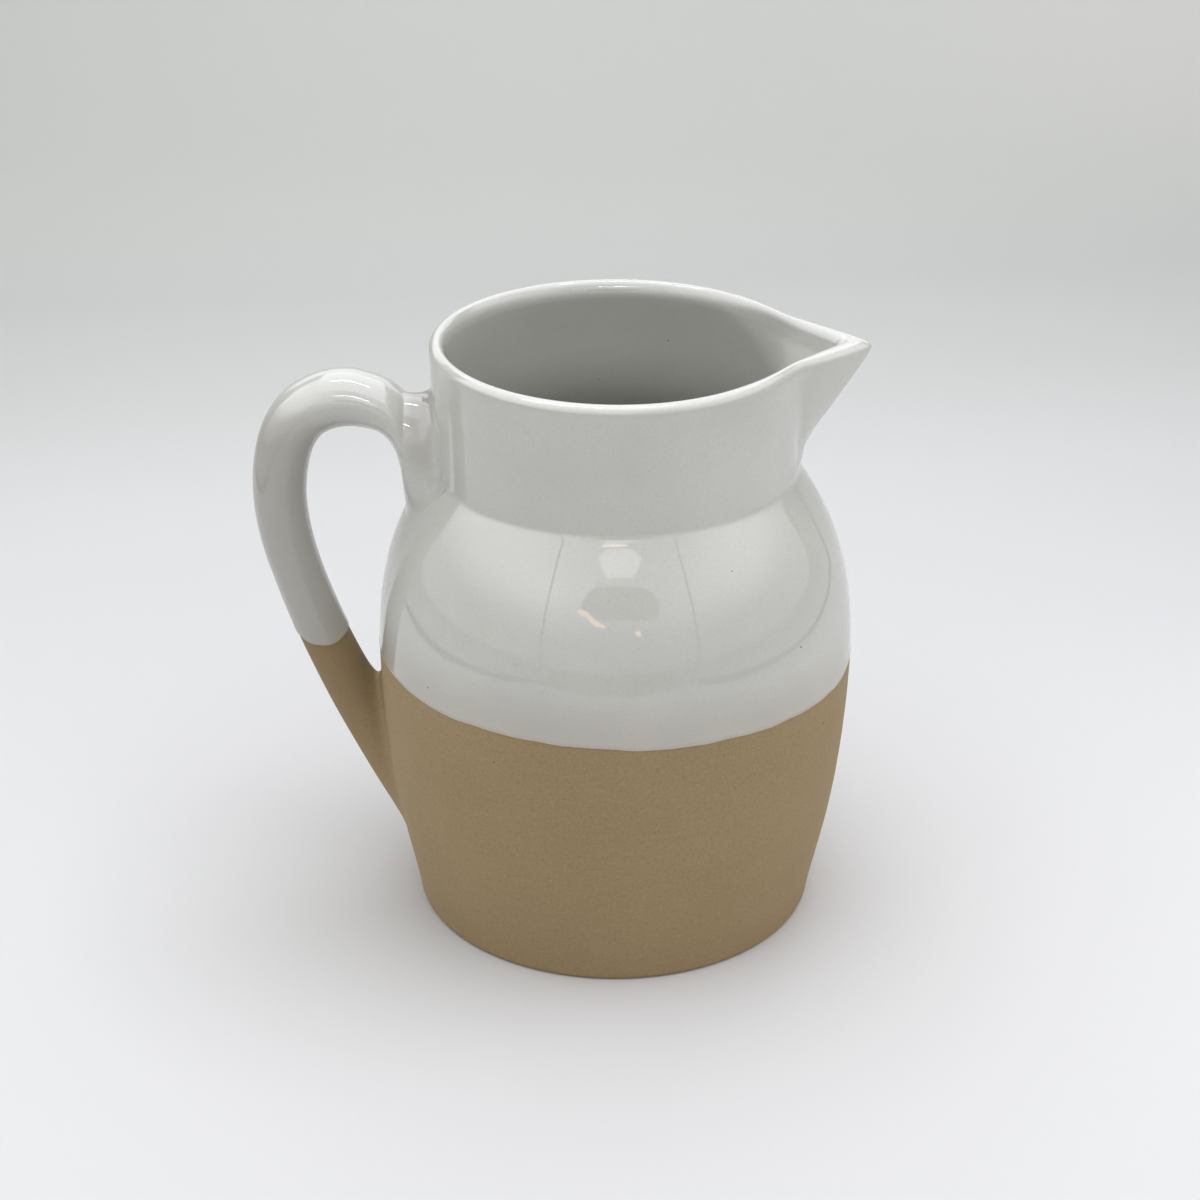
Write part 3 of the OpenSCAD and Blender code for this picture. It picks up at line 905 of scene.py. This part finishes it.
# %% Ride and replace
for piece, nodes, slot in ((clay_pot, ("body", "spout"), "bare_clay"),
                           (glaze_pot, ("outer_glaze", "liner_glaze", "spout_glaze"), "pale_glaze"),
                           (clay_strap, ("handle",), "bare_clay"),
                           (glaze_strap, ("handle_glaze",), "pale_glaze")):
    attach(piece, "root")
    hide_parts(*nodes)
print("pieces ride the body")

# %% [markdown]
# ## Floor and backdrop
# The jug stands on a sheet of white paper that sweeps up behind it. One curved sheet has no line at the
# back, so the floor fades into the backdrop.

# %% Paper sweep
DEPTH, BEND, TALL, HALF_WIDE, FRONT = 0.75, 0.45, 1.6, 2.4, -1.3


def band_faces(n):
    """Faces of a band of n pairs of points."""
    return [(2 * i, 2 * i + 1, 2 * i + 3, 2 * i + 2) for i in range(n - 1)]


def paper_sweep():
    """The sheet, from its front edge over the bend to its top."""
    rows = [(FRONT, 0.0), (DEPTH, 0.0)]
    for a in np.radians(np.arange(6, 91, 6)):
        rows.append((DEPTH + BEND * math.sin(a), BEND - BEND * math.cos(a)))
    rows.append((DEPTH + BEND, TALL))
    verts = [(x, y, z) for y, z in rows for x in (-HALF_WIDE, HALF_WIDE)]
    return mesh_object("paper", verts, band_faces(len(rows)))


paper = paper_sweep()
print("paper", len(paper.data.polygons), "strips")

# %% [markdown]
# ## The paper's tone
# The light on the paper is painted into its colour: it is darkest behind the jug, before it starts to rise,
# and paler in the far right corner. This painted shade is a ramp of soft greys from front to back, with a
# soft painted shadow under the handle and a fine fibre.

# %% Finish of the paper
PAPER_LIGHT_TONES = ((0.0, (222, 222, 224)), (0.16, (217, 217, 219)), (0.31, (215, 215, 216)),
               (0.42, (207, 208, 207)), (0.55, (202, 203, 202)), (0.68, (208, 209, 206)),
               (0.86, (213, 214, 211)), (1.0, (217, 218, 215)))
HANDLE_SHADE_AT, HANDLE_SHADE_R = (-0.085, -0.02, 0.0), 0.11


def white_paper():
    g = Graph("white_paper", Roughness=0.85, Specular_IOR_Level=0.2)
    where = g.node("ShaderNodeTexCoord", output="Object")
    along, sideways = part_of(g, where, "Y"), part_of(g, where, "X")
    # painted light and shade: a ramp of greys from front to back and a paler far right corner
    stops = [(position, linear(*tone)) for position, tone in PAPER_LIGHT_TONES]
    shade = g.node("ShaderNodeValToRGB", {"stops": stops}, {0: along - 0.13 * sideways})
    lit_corner = step(g, sideways, 0.05, 0.45) * step(g, along, 0.60, 1.00)
    # painted shadow of the handle on the paper beside the foot
    ends = {0: where, 1: HANDLE_SHADE_AT}
    from_handle_shadow = g.node("ShaderNodeVectorMath", {"operation": "DISTANCE"}, ends, "Value")
    g.surface(Base_Color=layered(g, shade, (
        (0.7 * lit_corner, (234, 234, 231)),
        (0.45 * (1 - step(g, from_handle_shadow, 0.0, HANDLE_SHADE_R)), (196, 197, 195)),
        (0.05 * noise(g, 3, 3), (200, 200, 202)))))
    return g.material


paper.data.materials.append(white_paper())
print("paper has", len(PAPER_LIGHT_TONES), "tones from front to back")

# %% [markdown]
# ## Light
# The photograph was taken in a small cube of white cloth, open at the front, with light from above. The
# walls are soft lamps here. Each gets its brightness as a radiance, and the lamp's power follows from its
# area. Gloss would show the lamps' sharp outlines, which the real cloth doesn't have, so the lamps are
# hidden from it, and the next cells say what it mirrors instead.

# %% Lamps
WHITE, COOL, WARM = (1.0, 1.0, 1.0), (0.975, 0.985, 1.0), (1.0, 0.74, 0.52)
LAMPS = (("top", (-0.02, 0.12, 0.95), (-0.02, 0.12, 0), (1.0, 1.5), 1.92, COOL),
         ("left", (-0.44, -0.15, 0.44), (0, -0.15, 0.44), (0.80, 0.86), 0.5, WHITE),
         ("right", (0.38, -0.13, 0.44), (0, -0.13, 0.44), (0.60, 0.86), 0.61, WHITE),
         ("front", (0.15, -1.05, 0.50), (0, 0, 0.30), (1.4, 1.0), 0.30, WHITE))


def panel(name, at, aim, size, glow, colour):
    """A rectangular lamp whose surface has the radiance glow."""
    data = bpy.data.lights.new(name, "AREA")
    data.shape, data.size, data.size_y = "RECTANGLE", *size
    data.energy = glow * math.pi * size[0] * size[1]
    data.color = colour
    lamp = bpy.data.objects.new(name, data)
    lamp.location = at
    lamp.rotation_euler = (Vector(aim) - Vector(at)).to_track_quat("-Z", "Y").to_euler()
    lamp.visible_camera = lamp.visible_glossy = False
    bpy.context.scene.collection.objects.link(lamp)


for lamp in LAMPS:
    panel(*lamp)
print("lamps:", ", ".join(lamp[0] for lamp in LAMPS))

# %% [markdown]
# ## The cloth all round
# The world stands for the cloth. It adds a little even light. In reflections it is brighter, and it grows
# upwards, where the light falls through, and towards both sides.

# %% World
EVEN_GLOW, MIRRORED_GLOW, OVERHEAD_GLOW = 0.34, 0.46, 2.6
world = bpy.data.worlds.new("world")
bpy.context.scene.world = world
world.use_nodes = True
cloth = world.node_tree.nodes["Background"]
cloth.inputs["Color"].default_value = (*WHITE, 1)
sky = Graph("sky", world.node_tree)
direction = sky.node("ShaderNodeTexCoord", output="Generated")
sideward = part_of(sky, direction, "X") - 0.19
beside = sky.node("ShaderNodeMath", {"operation": "ABSOLUTE"}, {0: sideward})
high = part_of(sky, direction, "Z")
overhead = step(sky, high, 0.10, 0.50) * (0.32 + 0.68 * step(sky, beside, 0.20, 0.95))
in_gloss = sky.node("ShaderNodeLightPath", output="Is Glossy Ray")
sky.feed(cloth.inputs["Strength"], EVEN_GLOW + in_gloss * (MIRRORED_GLOW + OVERHEAD_GLOW * overhead))
bpy.context.scene.view_settings.view_transform = "Standard"
print("the cloth glows by", EVEN_GLOW, "and by up to", MIRRORED_GLOW + OVERHEAD_GLOW, "more in reflections")

# %% [markdown]
# ## What the glaze mirrors
# A gloss shows what stands round it. The cloth's seams and posts give thin dark lines, what stands in
# front of the cube's opening gives a dark oval with two warm marks, and the ceiling, the back wall, the
# opening above the oval and the rows of small lights give bright marks. These things take part only in
# reflections, so they change neither the light nor the view.

# %% Shapes that only reflections show
BELLY_AT = Vector((0, 0, 0.12))


def mirrored(name, points, faces, colour, glow):
    """A glowing or dark shape that only reflections show."""
    g = Graph(name, Roughness=1.0, Specular_IOR_Level=0.0, Emission_Strength=glow)
    tint = blend(g, noise(g, 60, 2), colour, tuple(0.8 * c for c in colour))
    g.surface(Base_Color=(0.0, 0.0, 0.0), Emission_Color=tint)
    thing = mesh_object(name, points, faces, smooth=False)
    thing.data.materials.append(g.material)
    thing.visible_camera = thing.visible_diffuse = thing.visible_shadow = False
    thing.visible_transmission = thing.visible_volume_scatter = False


def seam(name, path, half, glow):
    """A thin dark band along a path of points, turned to face the belly."""
    points, ends = [], [Vector(p) for p in path]
    for i, p in enumerate(ends):
        go = ends[min(i + 1, len(ends) - 1)] - ends[max(i - 1, 0)]
        aside = go.cross(p - BELLY_AT).normalized() * half
        points += [tuple(p - aside), tuple(p + aside)]
    mirrored(name, points, band_faces(len(ends)), WHITE, glow)


def patch(name, outline, y, colour, glow):
    """A flat many-sided shape that stands at the depth y, with its corners given as x and z."""
    mirrored(name, [(x, y, z) for x, z in outline], [tuple(range(len(outline)))], colour, glow)


def level_patch(name, outline, z, colour, glow):
    """A flat level shape at the height z, with its corners given as x and y."""
    mirrored(name, [(x, y, z) for x, y in outline], [tuple(range(len(outline)))], colour, glow)


print("reflection helpers ready")

# %% [markdown]
# ## Seams and posts
# The cube's cloth is sewn along its lower edges, and two posts stand at the front. Each is a path of a few
# points with half a width and a glow.

# %% Dark lines
POST_GLOW = 0.24
FRONT_LEFT, FRONT_RIGHT = (-0.35, -0.53, 0.01), (0.33, -0.44, 0.01)
seam("seam_left", [(-0.43, 0.22, 0.34), (-0.43, 0.22, 0.01), (-0.43, -0.17, 0.01), FRONT_LEFT], 0.009, 0.0)
post_left = [FRONT_LEFT, (-0.36, -0.54, 0.25), (-0.38, -0.55, 0.60), (-0.40, -0.55, 0.85)]
seam("post_left", post_left, 0.007, POST_GLOW)
seam("seam_right", [(0.47, 0.46, 0.80), (0.47, 0.43, 0.30), (0.465, 0.40, 0.004), (0.465, 0.19, 0.004),
                    (0.425, -0.23, 0.004), FRONT_RIGHT], 0.010, 0.0)
post_right = [FRONT_RIGHT, (0.34, -0.44, 0.25), (0.36, -0.44, 0.60), (0.38, -0.45, 0.85)]
seam("post_right", post_right, 0.006, POST_GLOW)
print("four dark lines stand round the jug")

# %% [markdown]
# ## Marks in front, above and behind
# Upright shapes are outlines of x and z at one depth. The opening and a strip over it are bright, and two
# small warm marks stand before the dark oval. Above hang two rows of small lights under a pale ceiling,
# and a dim warm table lies in front.

# %% Bright and dark marks
OPENING_Y, MARK_Y, BACK_Y, CEILING_Z, LIGHTS_Z, TABLE_Z = -0.80, -0.78, 1.12, 0.90, 0.86, 0.004
CEILING_TINT, OVAL_TINT = (0.90, 0.93, 1.0), (1.0, 0.97, 0.92)
STRIP_TINT, TABLE_TINT = (1.0, 0.86, 0.70), (1.0, 0.84, 0.68)
oval = [(0.043 + 0.288 * math.cos(t), 0.485 + 0.134 * math.sin(t) + 0.02 * math.sin(3 * t))
        for t in np.linspace(0, 2 * np.pi, 33)[:-1]]
opening = [(-0.16, 0.80), (-0.08, 0.885), (0.16, 0.885), (0.237, 0.806), (0.15, 0.66), (-0.07, 0.65)]
strip = [(-0.12, 0.905), (0.10, 0.905), (0.10, 0.925), (-0.12, 0.925)]
long_mark = [(-0.27, 0.425), (-0.24, 0.440), (-0.19, 0.415), (-0.13, 0.36), (-0.066, 0.335), (-0.066, 0.318),
             (-0.14, 0.330), (-0.20, 0.380), (-0.25, 0.395)]
short_mark = [(0.125, 0.305), (0.16, 0.305), (0.165, 0.27), (0.13, 0.28)]
wall = [(-0.95, 0.42), (0.95, 0.42), (0.95, 0.90), (-0.95, 0.90)]
patch("dark_oval", oval, OPENING_Y, OVAL_TINT, 0.42)
patch("opening", opening, OPENING_Y, WHITE, 3.9)
patch("strip_front", strip, OPENING_Y, STRIP_TINT, 9.0)
patch("warm_mark_one", long_mark, MARK_Y, WARM, 6.0)
patch("warm_mark_two", short_mark, MARK_Y, WARM, 6.0)
cover = [(-0.50, -0.30), (0.50, -0.30), (0.50, 1.15), (-0.50, 1.15)]
level_patch("ceiling", cover, CEILING_Z, CEILING_TINT, 4.2)
patch("back_wall", wall, BACK_Y, CEILING_TINT, 2.3)
board = [(-0.33, -0.50), (0.31, -0.50), (0.60, -1.25), (-0.60, -1.25)]
level_patch("table", board, TABLE_Z, TABLE_TINT, 0.36)
lamp_shape = ((0, 0), (0.02, 0), (0.02, 0.03), (0, 0.03))
for y in (-0.68, 0.20):
    points = [(x + dx, y + dy, LIGHTS_Z) for x in np.arange(-0.30, 0.18, 0.03) for dx, dy in lamp_shape]
    faces = [tuple(range(i, i + 4)) for i in range(0, len(points), 4)]
    mirrored("strip_%d" % round(100 * y), points, faces, WHITE, 60.0)
